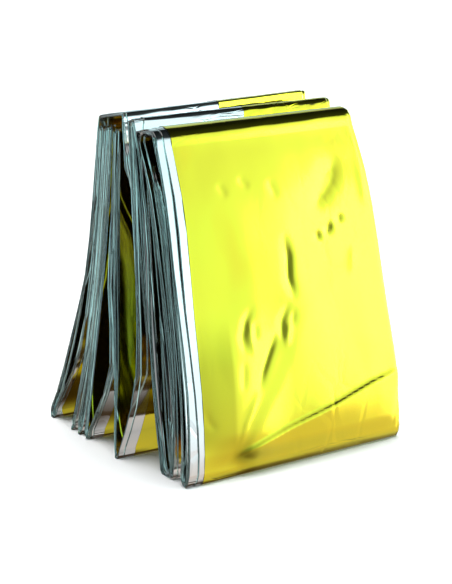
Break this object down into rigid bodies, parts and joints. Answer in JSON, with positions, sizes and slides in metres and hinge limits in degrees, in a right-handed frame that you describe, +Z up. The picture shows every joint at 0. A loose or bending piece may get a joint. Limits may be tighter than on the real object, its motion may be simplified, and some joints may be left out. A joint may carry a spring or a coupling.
{
  "type": "emergency foil blanket",
  "caption": "Thin gold and silver film blanket, folded to a narrow strip and then back and forth, standing half opened like a fan.",
  "frame": {"origin": "on the surface that the packet stands on, under the middle of its bounding box", "axes": "+X along the ridges, towards the end where the loose layers spread, -Y out of the front gold face, +Z up"},
  "size_m": [0.107, 0.0976, 0.1321],
  "materials": {
    "metallised_film": "mirror-bright vacuum-metallised polyester film, lemon gold on one side and silver on the other, with soft creases"
  },
  "bodies": {
    "root": {"foil_blanket": "metallised_film"}
  },
  "joints": []
}
